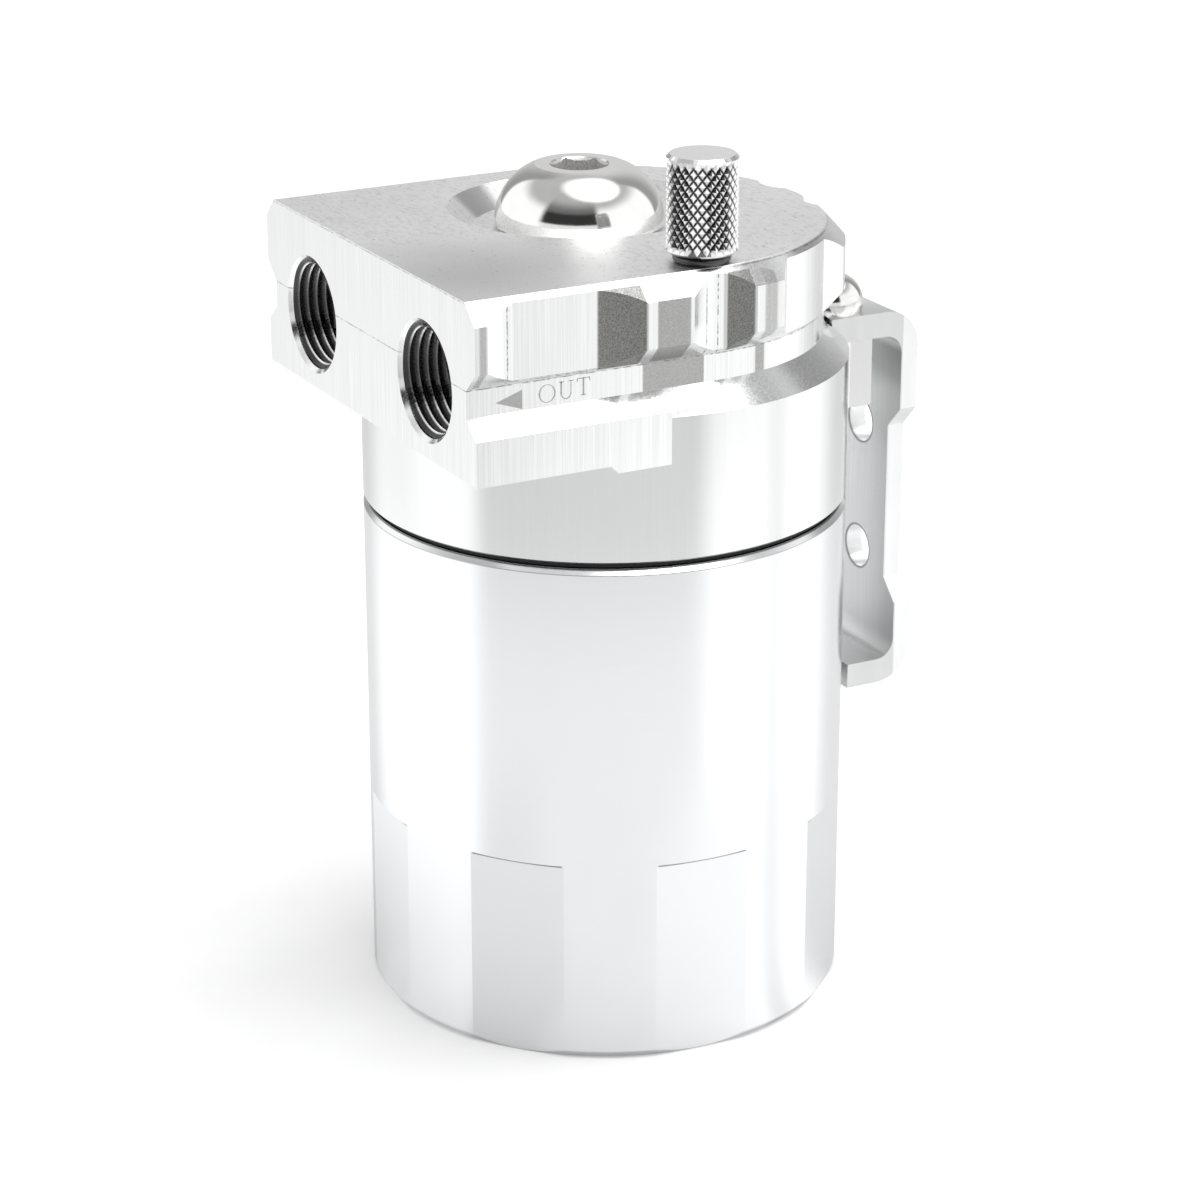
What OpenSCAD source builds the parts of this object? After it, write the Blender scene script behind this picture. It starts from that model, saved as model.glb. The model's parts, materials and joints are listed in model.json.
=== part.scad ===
// Oil catch can for an engine bay: a turned can that screws onto a milled head,
// with a screwed breather plug, a knurled dipstick, a baffle and a wall bracket.
// Origin on the axis of the can at its base. +Z is up, -Y is the face with the ports.

/* [Can] */
// Outside diameter of the can and of the skirt of the head
can_d = 75; // [66:1:96]
// Height of the can from its base to its rim
can_h = 79.8; // [70:0.1:140]
// Thickness of the can's side wall
can_wall = 3.4; // [2.6:0.1:4.5]
// Thickness of the can's floor
can_floor = 4; // [2.5:0.5:8]
// Radial width of the bevel round the base
base_bevel_w = 0.9; // [0.4:0.1:2]
// Height of the bevel round the base
base_bevel_h = 1.2; // [0.4:0.1:2]
// Bevel on the outer edge of the rim
rim_bevel = 0.8; // [0.3:0.1:1.4]
// Number of grip flats milled round the foot of the can
flat_count = 8; // [4:1:12]
// Depth of a grip flat at its middle
flat_depth = 0.78; // [0.3:0.02:1.1]
// Height of the top of the grip flats above the base
flat_top = 32.2; // [15:0.1:55]
// Angle of the first grip flat from the +X side
flat_turn = -4.4; // [-22:0.1:22]

/* [Can thread] */
// Length of the threaded mouth of the can
mouth_len = 13.5; // [9:0.5:20]
// Depth of the thread recess below the can's bore
mouth_step = 0.5; // [0.3:0.1:1]
// Radial clearance of the head's spigot in the mouth
thread_gap = 0.08; // [0.04:0.01:0.1]
// Length of the head's spigot
spigot_len = 11; // [8:0.5:18]

/* [Seam seal] */
// Height of the seal that shows between can and head
seam_h = 0.9; // [0.6:0.1:2]
// Distance of the seal's outer edge inside the rim's bevel
seam_inset = 0.5; // [0.3:0.1:1]
// Clearance between the seal and the spigot
seal_gap = 0.3; // [0.2:0.1:0.6]

/* [Head] */
// Height of the head from the seam to its top face
head_h = 42.6; // [36:0.1:60]
// How far the face with the ports stands in front of the can
face_out = 2.5; // [1:0.1:10]
// How far the neck and the top face lie inside the can's radius
neck_inset = 4; // [2:0.1:6]
// How far the grip lugs stand out from the neck
lug_out = 3; // [2:0.1:4]
// How far the valleys between the lugs stand out from the neck
valley_out = 0.8; // [0.4:0.1:1.4]
// Height of a lug's upright wall
lug_wall_h = 6.9; // [4:0.1:10]
// Height of the neck that carries the flow marks
neck_h = 4.1; // [2:0.1:8]
// Height of the sloping shoulder at the can's radius
shoulder_h = 3.5; // [2:0.1:6]
// Height of the front block's side below its shoulder
block_side_h = 8; // [4:0.1:12]
// Depth of the step in the underside of the front block
block_step = 1.2; // [0.5:0.1:2]
// Distance from the axis to the step in the front block
block_step_y = 17.3; // [14:0.1:25]
// Bevel on the lower edge of the skirt
skirt_bevel = 0.3; // [0.1:0.1:0.8]
// Thickness of the spigot's wall round the chamber
spigot_wall = 8.5; // [8:0.1:10]
// Height of the chamber's ceiling above the seam
chamber_h = 16.5; // [10:0.5:20]

/* [Grip lugs] */
// Length of the lug at each front corner
corner_lug = 2; // [1:0.1:4]
// Length of the ramp behind the corner lug
corner_ramp = 5; // [2:0.1:6]
// Distance from the axis to the front end of the second lug's wall
lug_b_front = 12.5; // [11:0.1:15]
// Distance from the axis to the rear end of the second lug's wall
lug_b_rear = 5; // [4.5:0.1:6.5]
// Length of the ramp in front of the second lug
lug_b_ramp = 7.2; // [3:0.1:9]
// Length of the ramp behind the second lug
lug_b_back = 4.4; // [3:0.1:4.5]
// Start and end angle of the third lug's wall
lug_c_wall = [9.2, 17.2]; // [6:0.1:20]
// Start and end angle of the third lug's foot
lug_c_foot = [1.8, 22.6]; // [0:0.1:26]
// Start and end angle of the fourth lug's wall
lug_d_wall = [51.5, 64]; // [46:0.1:68]
// Start and end angle of the fourth lug's foot
lug_d_foot = [43.8, 72]; // [38:0.1:76]
// Radius of the cutter that hollows the ramps up to the lugs
ramp_cutter_r = 20; // [12:1:60]

/* [Ports] */
// Radius of a port's threaded wall
port_r = 8.5; // [6:0.1:9.5]
// Length of a port's thread
port_len = 16; // [10:0.5:17]
// Distance of each port's axis inside the neck's wall
port_inset = 13.6; // [12:0.1:16]
// Height of the ports above the seam
port_h = 27.6; // [26:0.1:30]
// Bevel at the mouth of a port
port_bevel = 0.6; // [0.2:0.1:1]
// Radius of the drilling behind a port's thread
duct_r = 6.5; // [5:0.1:7]
// How far that drilling runs past the upright passage's axis
duct_past = 2.5; // [1:0.5:5]
// Radius of the upright passages down to the chamber
drop_r = 5; // [3:0.1:5.2]
// Wall between the upright passages and the plug's thread
drop_wall = 0.5; // [0.3:0.1:2]
// Clearance of the upright passages inside the chamber's wall
drop_inset = 0.4; // [0.2:0.1:1]

/* [Breather plug] */
// Place of the breather plug across the head
plug_x = -8.2; // [-10:0.1:-4]
// Radius of the recess round the plug at the top face
recess_r = 20.4; // [18:0.1:22]
// Radius of the recess at its floor
recess_floor_r = 16.6; // [15:0.1:18]
// Depth of the recess
recess_depth = 3.4; // [1:0.1:4]
// Radius of the plug's domed head
plug_head_r = 13.1; // [10:0.1:14.5]
// Height of the domed head
plug_head_h = 9.1; // [6:0.1:12]
// Radius of the flat on top of the dome
plug_flat_r = 6.9; // [6:0.1:8]
// Height of the dome's widest place above its base
plug_rim_h = 0.4; // [0:0.1:1]
// Width of the hexagonal socket across its flats
plug_hex = 8; // [6:0.5:10]
// Depth of the hexagonal socket
plug_hex_depth = 5; // [3:0.5:6]
// Radius of the threaded hole for the plug
plug_bore_r = 8; // [6:0.1:9]
// Length of the plug's threaded shank
plug_shank_len = 14; // [8:0.5:18]
// Thickness of the sealing washer under the plug
washer_t = 0.8; // [0.5:0.1:1.5]
// Radius of the sealing washer
washer_r = 11.6; // [10:0.1:12]

/* [Dipstick] */
// Distance of the dipstick's axis inside the neck's wall
stick_inset = 3.9; // [3.4:0.1:4.4]
// Radius over the knurl of the knob
knob_r = 5.3; // [4.6:0.1:6]
// Height of the knob
knob_h = 14.5; // [10:0.1:20]
// Diamonds of knurling round the knob
knurl_count = 24; // [16:1:32]
// Rows of knurling up the knob
knurl_rows = 16; // [8:2:20]
// Depth of the knurling
knurl_depth = 0.42; // [0.2:0.02:0.6]
// Bevel at both ends of the knob
knob_bevel = 0.5; // [0.3:0.1:1]
// Radius of the threaded hole for the dipstick
stick_bore_r = 2.5; // [2.2:0.1:2.6]
// Length of the dipstick's thread
stick_thread_len = 8; // [5:0.5:12]
// Radius of the rod
rod_r = 1.5; // [1:0.1:1.6]
// Clearance of the rod in its passage
rod_gap = 0.35; // [0.2:0.05:0.5]
// Height of the rod's tip above the can's floor
rod_tip = 6; // [3:0.5:20]
// Thickness of the seal ring under the knob
stick_seal_t = 1.4; // [1:0.1:2]
// Radius of the seal ring under the knob
stick_seal_r = 4.3; // [3.8:0.1:4.6]

/* [Bracket] */
// Half width of the bracket at its arms
bracket_w = 11.4; // [10:0.1:14]
// Half width of the bracket between its arms
waist_w = 8; // [6:0.1:9]
// Thickness of the arms
arm_t = 4; // [3:0.1:5]
// Thickness of the back plate
back_t = 3; // [2:0.1:5]
// Free distance between the can and the back plate
back_gap = 9.4; // [6:0.1:16]
// Height of the bracket
bracket_h = 62.2; // [50:0.1:90]
// Distance of the lower arm's tip from the can
tip_gap = 0.9; // [0.5:0.1:2]
// Outer radius of the bracket's two bends
bend_r = 6; // [4:0.5:8]
// Radius of the two wall holes
hole_r = 3.5; // [2.5:0.1:4]
// Distance between the two wall holes
hole_pitch = 21.5; // [15:0.5:24]
// Depth of the middle of the wall holes below the top of the bracket
hole_drop = 31.9; // [28:0.1:40]
// Height of the waist
waist_h = 25.6; // [20:0.1:30]
// Height of the sloping ends of the waist
waist_slope = 3.6; // [2:0.1:6]
// Depth of the middle of the waist below the top of the bracket
waist_drop = 32.7; // [28:0.1:40]
// Drop of the upper arm below the shoulder
arm_drop = 1.5; // [0.5:0.1:3]
// Half width of the head's boss under the upper arm
boss_w = 10.4; // [9:0.1:11]
// How far the boss stands behind the can
boss_out = 4.5; // [3:0.1:6]
// Height of the boss
boss_h = 11; // [9:0.5:14]
// Clearance of the upper arm in its pocket
pocket_gap = 0.2; // [0.1:0.05:0.4]

/* [Bracket screws] */
// Distance of each bracket screw from the middle plane
arm_screw_x = 6.4; // [5.4:0.1:7]
// Distance of the bracket screws behind the neck's wall
arm_screw_out = 3.4; // [3:0.1:4.4]
// Radius of the threaded holes in the boss
arm_screw_bore_r = 2.5; // [2:0.1:2.6]
// Depth of the threaded holes in the boss
arm_screw_depth = 9; // [6:0.5:10]
// Radius of the domed screw head
arm_screw_head_r = 4.9; // [4:0.1:4.9]
// Height of the domed screw head
arm_screw_head_h = 6.2; // [4:0.1:7]
// Width of the hexagonal socket of the bracket screws
arm_screw_hex = 3; // [2.5:0.5:4]
// Depth of that socket
arm_screw_hex_depth = 2.8; // [1:0.1:3.5]
// Clearance round the screw head in its scallop in the head
scallop_gap = 0.4; // [0.2:0.1:0.8]
// Free depth left under the tip of every screw
tip_room = 1; // [0.5:0.1:2]

/* [Baffle] */
// Clearance between the baffle disc and the can
baffle_gap = 1.3; // [0.8:0.1:2]
// Thickness of the baffle disc
baffle_t = 1.5; // [1:0.1:3]
// Radius of each hole in the baffle disc
baffle_hole_r = 1.6; // [1:0.1:2]
// Radius of the innermost ring of holes, and distance between the rings
ring_pitch = 6.5; // [5:0.1:7]
// Number of rings of holes
ring_count = 3; // [1:1:3]
// Distance between the holes of a ring
baffle_hole_pitch = 7.5; // [5:0.5:12]
// Length of the spacers that hang the baffle disc
spacer_len = 8; // [5:0.5:12]
// Radius of a spacer
spacer_r = 2.8; // [2.4:0.1:3]
// Angle of the first spacer from the +X side
spacer_turn = 60; // [45:1:75]
// Radius of the small screws' threads
small_screw_r = 1.5; // [1:0.1:1.6]
// Depth of the small screws in the spigot
small_screw_depth = 6; // [4:0.5:8]
// Radius of the small screws' heads
small_head_r = 2.6; // [2:0.1:3]
// Height of the small screws' heads
small_head_h = 1.8; // [1:0.1:2.5]
// Width of the small screws' hexagonal sockets
small_hex = 2; // [1.5:0.5:2.5]
// Depth of the small screws' sockets
small_hex_depth = 0.9; // [0.5:0.1:1.2]
// Clearance of the wire mesh pad in the chamber
mesh_gap = 0.6; // [0.2:0.1:2]
// Height of the wire mesh pad
mesh_h = 20; // [8:0.5:30]
// Wall of the inlet tube
tube_wall = 1; // [0.6:0.1:1.5]
// How far the inlet tube reaches below the baffle disc
tube_below = 6; // [2:0.5:20]

/* [Hidden] */
$fn = 96;

// Small overlap that lets a cutter pass a face
cut = 0.5;
// Running clearance of small screws and of the tube in their holes
close_gap = 0.03;
clear_gap = 0.3;
silver = [0.83, 0.84, 0.85];
bright = [0.9, 0.9, 0.91];
black = [0.06, 0.06, 0.07];

// Radii
can_r = can_d / 2;
neck_r = can_r - neck_inset;
lug_r = neck_r + lug_out;
valley_r = neck_r + valley_out;
face_y = can_r + face_out;
bore_r = can_r - can_wall;
mouth_r = bore_r + mouth_step;
spigot_r = mouth_r - thread_gap;
chamber_r = spigot_r - spigot_wall;

// Heights above the base
seam_z = can_h + seam_h;
top_z = seam_z + head_h;
lug_top_z = top_z - lug_out;
lug_low_z = lug_top_z - lug_wall_h;
plate_z = lug_low_z - lug_out;
neck_z = plate_z - neck_h;
shoulder_z = neck_z - shoulder_h;
shoulder_slope = shoulder_h / (can_r - neck_r);
block_shoulder_z = neck_z - lug_out * shoulder_slope;
block_z = block_shoulder_z - block_side_h;
ceiling_z = seam_z + chamber_h;
port_z = seam_z + port_h;
spigot_z = seam_z - spigot_len;

// Ports and passages
port_x = neck_r - port_inset;
drop_y = plug_bore_r + drop_r + drop_wall;
drop_x = sqrt((chamber_r - drop_r - drop_inset) ^ 2 - drop_y ^ 2);
duct_end_y = drop_y - duct_past;

// Breather plug
recess_z = top_z - recess_depth;
plug_base_z = recess_z + washer_t;
hex_corner_r = plug_hex / 2 / cos(30);
dome_run = plug_head_r - plug_flat_r;
dome_rise = plug_head_h - plug_rim_h;
dome_arc_r = (dome_run ^ 2 + dome_rise ^ 2) / (2 * dome_run);

// Dipstick
stick_x = neck_r - stick_inset;
knob_z = top_z + stick_seal_t;
stud_len = knob_h / 2;

// Bracket
back_y = can_r + back_gap;
arm_z = shoulder_z - arm_drop;
arm_screw_y = neck_r + arm_screw_out;
boss_y = can_r + boss_out;
arm_top_z = arm_z + arm_t;
bracket_low = arm_top_z - bracket_h;
hole_mid = arm_top_z - hole_drop;
waist_mid = arm_top_z - waist_drop;
bracket_y = back_y + back_t;
pocket_y = neck_r + pocket_gap;

// Baffle
baffle_top_z = spigot_z - spacer_len;
baffle_z = baffle_top_z - baffle_t;
baffle_r = bore_r - baffle_gap;
mesh_r = chamber_r - mesh_gap;
spacer_ring = (chamber_r + spigot_r) / 2;
spacer_count = 3;
spacer_angles = [for (i = [0 : spacer_count - 1]) spacer_turn + i * 360 / spacer_count];
tube_top_z = port_z - duct_r - clear_gap;

// Outlines in plan

// D shape: a half circle behind the axis and a straight-sided front
module d_outline(half_w, front) {
    circle(r = half_w);
    translate([-half_w, -front]) square([2 * half_w, front]);
}

// Round cutter that hollows the ramp between two corners of a lug
module ramp_hollow(from, to) {
    run = to - from;
    away = [run[1], -run[0]] / norm(run);
    translate((from + to) / 2 + away * sqrt(ramp_cutter_r ^ 2 - norm(run) ^ 2 / 4))
        circle(r = ramp_cutter_r);
}

// Lug on a straight side, narrowing outwards from its foot to its wall
module side_lug(foot, wall) difference() {
    polygon([[valley_r - cut, foot[0]], [valley_r, foot[0]], [lug_r, wall[0]],
             [lug_r, wall[1]], [valley_r, foot[1]], [valley_r - cut, foot[1]]]);
    ramp_hollow([valley_r, foot[0]], [lug_r, wall[0]]);
    ramp_hollow([lug_r, wall[1]], [valley_r, foot[1]]);
}

// Lug on the round end, between two angles at its foot and two at its wall
module round_lug(foot, wall) {
    reach = lug_r / cos((wall[1] - wall[0]) / 2);
    feet = [for (angle = foot) valley_r * [cos(angle), sin(angle)]];
    corners = [for (angle = wall) reach * [cos(angle), sin(angle)]];
    difference() {
        polygon([[0, 0], feet[0], corners[0], corners[1], feet[1]]);
        ramp_hollow(feet[0], corners[0]);
        ramp_hollow(corners[1], feet[1]);
    }
}

// Plan of the grip plate: valleys all round, with four lugs on each side
module plate_outline() {
    d_outline(valley_r, face_y);
    intersection() {
        d_outline(lug_r, face_y);
        for (side = [0, 1]) mirror([side, 0]) {
            side_lug([-face_y - corner_ramp, -face_y + corner_lug + corner_ramp],
                     [-face_y - cut, -face_y + corner_lug]);
            side_lug([-lug_b_front - lug_b_ramp, -lug_b_rear + lug_b_back],
                     [-lug_b_front, -lug_b_rear]);
            round_lug(lug_c_foot, lug_c_wall);
            round_lug(lug_d_foot, lug_d_wall);
        }
    }
}

// Closed outline from its right half, which starts and ends on the middle line
function both_halves(half) =
    concat(half, [for (i = [len(half) - 2 : -1 : 1]) [-half[i][0], half[i][1]]]);

// Solid of D-shaped plan whose edge follows a profile of radius and height
module d_solid(profile, front) {
    rotate_extrude() polygon(profile);
    rotate([90, 0, 0]) linear_extrude(front) polygon(both_halves(profile));
}

// Head

// Upright edge of the grip plate with its two 45 degree bevels
plate_profile = [[0, plate_z - cut], [neck_r, plate_z - cut], [neck_r, plate_z],
                 [lug_r, lug_low_z], [lug_r, lug_top_z], [neck_r, top_z], [0, top_z]];

// Neck, shoulder and side of the block below the ports
block_profile = [[0, block_z], [lug_r, block_z], [lug_r, block_shoulder_z],
                 [neck_r, neck_z], [neck_r, plate_z], [0, plate_z]];

// Turned skirt, shoulder and threaded spigot
skirt_profile = [[0, spigot_z], [spigot_r, spigot_z], [spigot_r, seam_z],
                 [can_r - skirt_bevel, seam_z], [can_r, seam_z + skirt_bevel],
                 [can_r, shoulder_z], [neck_r, neck_z], [0, neck_z]];

module head_blank() {
    intersection() {
        d_solid(plate_profile, face_y);
        translate([0, 0, plate_z - cut]) linear_extrude(top_z - plate_z + 2 * cut)
            plate_outline();
    }
    difference() {
        d_solid(block_profile, face_y);
        block_underside();
    }
    rotate_extrude() polygon(skirt_profile);
    translate([-boss_w, 0, arm_z - boss_h]) cube([2 * boss_w, boss_y, boss_h]);
}

// Relief under the front of the block, ending in a 45 degree step
module block_underside() {
    reach = face_y + cut;
    rotate([90, 0, 90]) translate([0, 0, -can_r]) linear_extrude(2 * can_r)
        polygon([[-reach, block_z - cut], [-block_step_y + cut, block_z - cut],
                 [-block_step_y, block_z],
                 [-block_step_y - block_step, block_z + block_step],
                 [-reach, block_z + block_step]]);
}

// Port: bevelled mouth, threaded wall, a drilling behind it and a drop passage
module port_passage() {
    translate([port_x, -face_y, port_z]) rotate([-90, 0, 0]) {
        cylinder(r = port_r, h = port_len);
        translate([0, 0, -cut])
            cylinder(r1 = port_r + port_bevel + cut, r2 = port_r, h = port_bevel + cut);
        cylinder(r = duct_r, h = face_y - duct_end_y);
    }
    translate([drop_x, -drop_y, ceiling_z - cut])
        cylinder(r = drop_r, h = port_z - ceiling_z + cut);
}

module breather_recess() {
    translate([plug_x, 0, 0]) {
        translate([0, 0, recess_z])
            cylinder(r1 = recess_floor_r, r2 = recess_r, h = recess_depth);
        translate([0, 0, top_z - close_gap]) cylinder(r = recess_r, h = cut);
        translate([0, 0, ceiling_z - cut])
            cylinder(r = plug_bore_r, h = recess_z - ceiling_z + 2 * cut);
    }
}

module dipstick_passage() {
    translate([stick_x, 0, 0]) {
        translate([0, 0, spigot_z - cut])
            cylinder(r = rod_r + rod_gap, h = top_z - spigot_z + 2 * cut);
        translate([0, 0, top_z - stick_thread_len - tip_room])
            cylinder(r = stick_bore_r, h = stick_thread_len + tip_room + cut);
    }
}

module head() color(silver) difference() {
    head_blank();
    translate([0, 0, spigot_z - cut]) cylinder(r = chamber_r, h = ceiling_z - spigot_z + cut);
    for (side = [0, 1]) mirror([side, 0]) port_passage();
    breather_recess();
    dipstick_passage();
    translate([-bracket_w - pocket_gap, pocket_y, arm_z])
        cube([2 * (bracket_w + pocket_gap), can_r, plate_z - arm_z]);
    for (side = [-1, 1]) translate([side * arm_screw_x, arm_screw_y, 0]) {
        translate([0, 0, arm_z - arm_screw_depth])
            cylinder(r = arm_screw_bore_r, h = arm_screw_depth + cut);
        translate([0, 0, arm_z])
            cylinder(r = arm_screw_head_r + scallop_gap, h = top_z - arm_z + cut);
    }
    for (angle = spacer_angles) rotate(angle)
        translate([spacer_ring, 0, spigot_z - cut])
            cylinder(r = small_screw_r, h = small_screw_depth + cut);
}

// Can

module can_blank() {
    rotate_extrude() polygon([
        [0, 0], [can_r - base_bevel_w, 0], [can_r, base_bevel_h],
        [can_r, can_h - rim_bevel], [can_r - rim_bevel, can_h],
        [mouth_r, can_h], [mouth_r, can_h - mouth_len],
        [bore_r, can_h - mouth_len - mouth_step], [bore_r, can_floor], [0, can_floor]]);
}

module grip_flats() {
    flat_r = can_r - flat_depth;
    for (i = [0 : flat_count - 1]) rotate(flat_turn + i * 360 / flat_count)
        translate([flat_r, -can_r / 2, -cut]) cube([can_r, can_r, flat_top + cut]);
}

module can() color(silver) difference() {
    can_blank();
    grip_flats();
}

module can_seal() color(black) rotate_extrude() {
    outer = can_r - rim_bevel - seam_inset;
    translate([spigot_r + seal_gap, can_h])
        square([outer - spigot_r - seal_gap, seam_h]);
    translate([outer, can_h + seam_h / 2]) circle(r = seam_h / 2);
}

// Breather plug

module breather_plug() color(bright) translate([plug_x, 0, plug_base_z]) difference() {
    union() {
        rotate_extrude() intersection() {
            translate([plug_head_r - dome_arc_r, plug_rim_h]) circle(r = dome_arc_r);
            square([plug_head_r, plug_head_h]);
        }
        cylinder(r = plug_flat_r, h = plug_head_h);
        translate([0, 0, -washer_t - plug_shank_len])
            cylinder(r = plug_bore_r - thread_gap, h = washer_t + plug_shank_len + cut);
    }
    translate([0, 0, plug_head_h - plug_hex_depth])
        cylinder(r = hex_corner_r, h = plug_hex_depth + cut, $fn = 6);
    translate([0, 0, plug_head_h - cut])
        cylinder(r1 = hex_corner_r - cut, r2 = hex_corner_r + cut, h = 2 * cut);
}

module plug_washer() color(black) translate([plug_x, 0, recess_z]) difference() {
    cylinder(r = washer_r, h = washer_t);
    translate([0, 0, -cut]) cylinder(r = plug_bore_r + clear_gap, h = washer_t + 2 * cut);
}

// Dipstick

// Knurled skin: a grid of points that stand out and lie back by turns,
// so each raised point is the tip of a four-sided diamond
knurl_columns = 2 * knurl_count;
knurl_pitch = (knob_h - 2 * knob_bevel) / knurl_rows;
function knurl_radius(i, k) =
    k == 0 || k == knurl_rows || (i + k) % 2 == 0 ? knob_r : knob_r - knurl_depth;
function knob_ring(radius, z) =
    [for (i = [0 : knurl_columns - 1])
        [radius * cos(i * 360 / knurl_columns), radius * sin(i * 360 / knurl_columns), z]];
function knurl_ring(k) =
    [for (i = [0 : knurl_columns - 1])
        let (r = knurl_radius(i, k), a = i * 360 / knurl_columns)
        [r * cos(a), r * sin(a), knob_bevel + k * knurl_pitch]];
knob_points = concat(
    [[0, 0, 0]], knob_ring(knob_r - knob_bevel, 0),
    [for (k = [0 : knurl_rows]) each knurl_ring(k)],
    knob_ring(knob_r - knob_bevel, knob_h), [[0, 0, knob_h]]);
knob_rings = knurl_rows + 3;
function knob_index(ring, i) = 1 + ring * knurl_columns + i % knurl_columns;
function knob_quad(ring, i) =
    let (a = knob_index(ring, i), b = knob_index(ring, i + 1),
         c = knob_index(ring + 1, i + 1), d = knob_index(ring + 1, i))
    (i + ring) % 2 == 1 ? [[a, d, b], [b, d, c]] : [[a, c, b], [a, d, c]];
knob_faces = concat(
    [for (i = [0 : knurl_columns - 1]) [0, knob_index(0, i), knob_index(0, i + 1)]],
    [for (ring = [0 : knob_rings - 2], i = [0 : knurl_columns - 1]) each knob_quad(ring, i)],
    [for (i = [0 : knurl_columns - 1])
        [len(knob_points) - 1, knob_index(knob_rings - 1, i + 1), knob_index(knob_rings - 1, i)]]);

module dipstick_knob() color(bright) translate([stick_x, 0, knob_z]) difference() {
    polyhedron(knob_points, knob_faces, convexity = 4);
    translate([0, 0, -cut]) cylinder(r = stick_bore_r, h = stud_len + cut);
}

module dipstick_rod() color(silver) translate([stick_x, 0, 0]) {
    stud_r = stick_bore_r - thread_gap;
    translate([0, 0, top_z - stick_thread_len])
        cylinder(r = stud_r, h = stick_thread_len + stick_seal_t + stud_len - close_gap);
    translate([0, 0, can_floor + rod_tip])
        cylinder(r = rod_r, h = top_z - stick_thread_len - can_floor - rod_tip + cut);
}

module dipstick_seal() color(black) translate([stick_x, 0, top_z]) {
    half = stick_seal_t / 2;
    rotate_extrude() {
        translate([stick_seal_r - half, half]) circle(r = half, $fn = 24);
        translate([stick_bore_r + close_gap, 0])
            square([stick_seal_r - half - stick_bore_r - close_gap, stick_seal_t]);
    }
}

// Bracket

// Side view of the bracket: two arms and a back plate with rounded bends
module bracket_side() {
    inner_r = bend_r - back_t;
    difference() {
        union() {
            translate([pocket_y + pocket_gap, bracket_low])
                square([bracket_y - bend_r - pocket_y - pocket_gap, arm_top_z - bracket_low]);
            translate([bracket_y - bend_r - cut, bracket_low + bend_r])
                square([bend_r + cut, arm_top_z - bracket_low - 2 * bend_r]);
            for (z = [bracket_low + bend_r, arm_top_z - bend_r])
                translate([bracket_y - bend_r, z]) circle(r = bend_r);
        }
        translate([0, bracket_low + arm_t])
            square([back_y - inner_r, arm_z - bracket_low - arm_t]);
        translate([0, bracket_low + arm_t + inner_r])
            square([back_y, arm_z - bracket_low - arm_t - 2 * inner_r]);
        for (z = [bracket_low + arm_t + inner_r, arm_z - inner_r])
            translate([back_y - inner_r, z]) circle(r = inner_r);
        translate([0, bracket_low - cut]) square([can_r + tip_gap, arm_t + 2 * cut]);
    }
}

// Front view of the bracket: wide at the arms, narrower at the waist
module bracket_front() {
    low = waist_mid - waist_h / 2;
    high = waist_mid + waist_h / 2;
    polygon(both_halves([[0, bracket_low - cut], [bracket_w, bracket_low - cut],
                         [bracket_w, low - waist_slope], [waist_w, low], [waist_w, high],
                         [bracket_w, high + waist_slope], [bracket_w, arm_top_z + cut],
                         [0, arm_top_z + cut]]));
}

module bracket() color(silver) difference() {
    intersection() {
        rotate([90, 0, 90]) translate([0, 0, -bracket_w]) linear_extrude(2 * bracket_w)
            bracket_side();
        translate([0, bracket_y + cut, 0]) rotate([90, 0, 0]) linear_extrude(bracket_y)
            bracket_front();
    }
    for (side = [-1, 1])
        translate([0, back_y - cut, hole_mid + side * hole_pitch / 2]) rotate([-90, 0, 0])
            cylinder(r = hole_r, h = back_t + 2 * cut);
    for (side = [-1, 1]) translate([side * arm_screw_x, arm_screw_y, arm_z - cut])
        cylinder(r = arm_screw_bore_r + clear_gap, h = arm_t + 2 * cut);
}

// Screw with a domed head, a hexagonal socket and a plain shank
module domed_screw(head_r, head_h, shank_r, shank_len, hex, hex_depth) {
    dome_h = min(head_r, head_h);
    round_r = (head_r ^ 2 + dome_h ^ 2) / (2 * dome_h);
    difference() {
        union() {
            rotate_extrude() intersection() {
                translate([0, head_h - round_r]) circle(r = round_r);
                square([head_r, head_h]);
            }
            translate([0, 0, -shank_len]) cylinder(r = shank_r, h = shank_len + cut);
        }
        translate([0, 0, head_h - hex_depth])
            cylinder(r = hex / 2 / cos(30), h = hex_depth + cut, $fn = 6);
    }
}

module bracket_screw(side) color(bright)
    translate([side * arm_screw_x, arm_screw_y, arm_top_z])
        domed_screw(arm_screw_head_r, arm_screw_head_h, arm_screw_bore_r - close_gap,
                    arm_t + arm_screw_depth - tip_room, arm_screw_hex, arm_screw_hex_depth);

// Baffle

module inlet_tube() color(silver) translate([-drop_x, -drop_y, 0]) {
    low = baffle_z - tube_below;
    difference() {
        translate([0, 0, low]) cylinder(r = drop_r - close_gap, h = tube_top_z - low);
        translate([0, 0, low - cut])
            cylinder(r = drop_r - tube_wall, h = tube_top_z - low + 2 * cut);
    }
}

module baffle_disc() color(silver) difference() {
    translate([0, 0, baffle_z]) cylinder(r = baffle_r, h = baffle_t);
    for (ring = [1 : ring_count]) {
        ring_r = ring * ring_pitch;
        count = floor(2 * PI * ring_r / baffle_hole_pitch);
        for (i = [0 : count - 1]) rotate((i + 0.5) * 360 / count)
            translate([ring_r, 0, baffle_z - cut])
                cylinder(r = baffle_hole_r, h = baffle_t + 2 * cut);
    }
    translate([-drop_x, -drop_y, baffle_z - cut])
        cylinder(r = drop_r + clear_gap, h = baffle_t + 2 * cut);
    translate([stick_x, 0, baffle_z - cut])
        cylinder(r = rod_r + rod_gap, h = baffle_t + 2 * cut);
    for (angle = spacer_angles) rotate(angle) translate([spacer_ring, 0, baffle_z - cut])
        cylinder(r = small_screw_r + clear_gap, h = baffle_t + 2 * cut);
}

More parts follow.
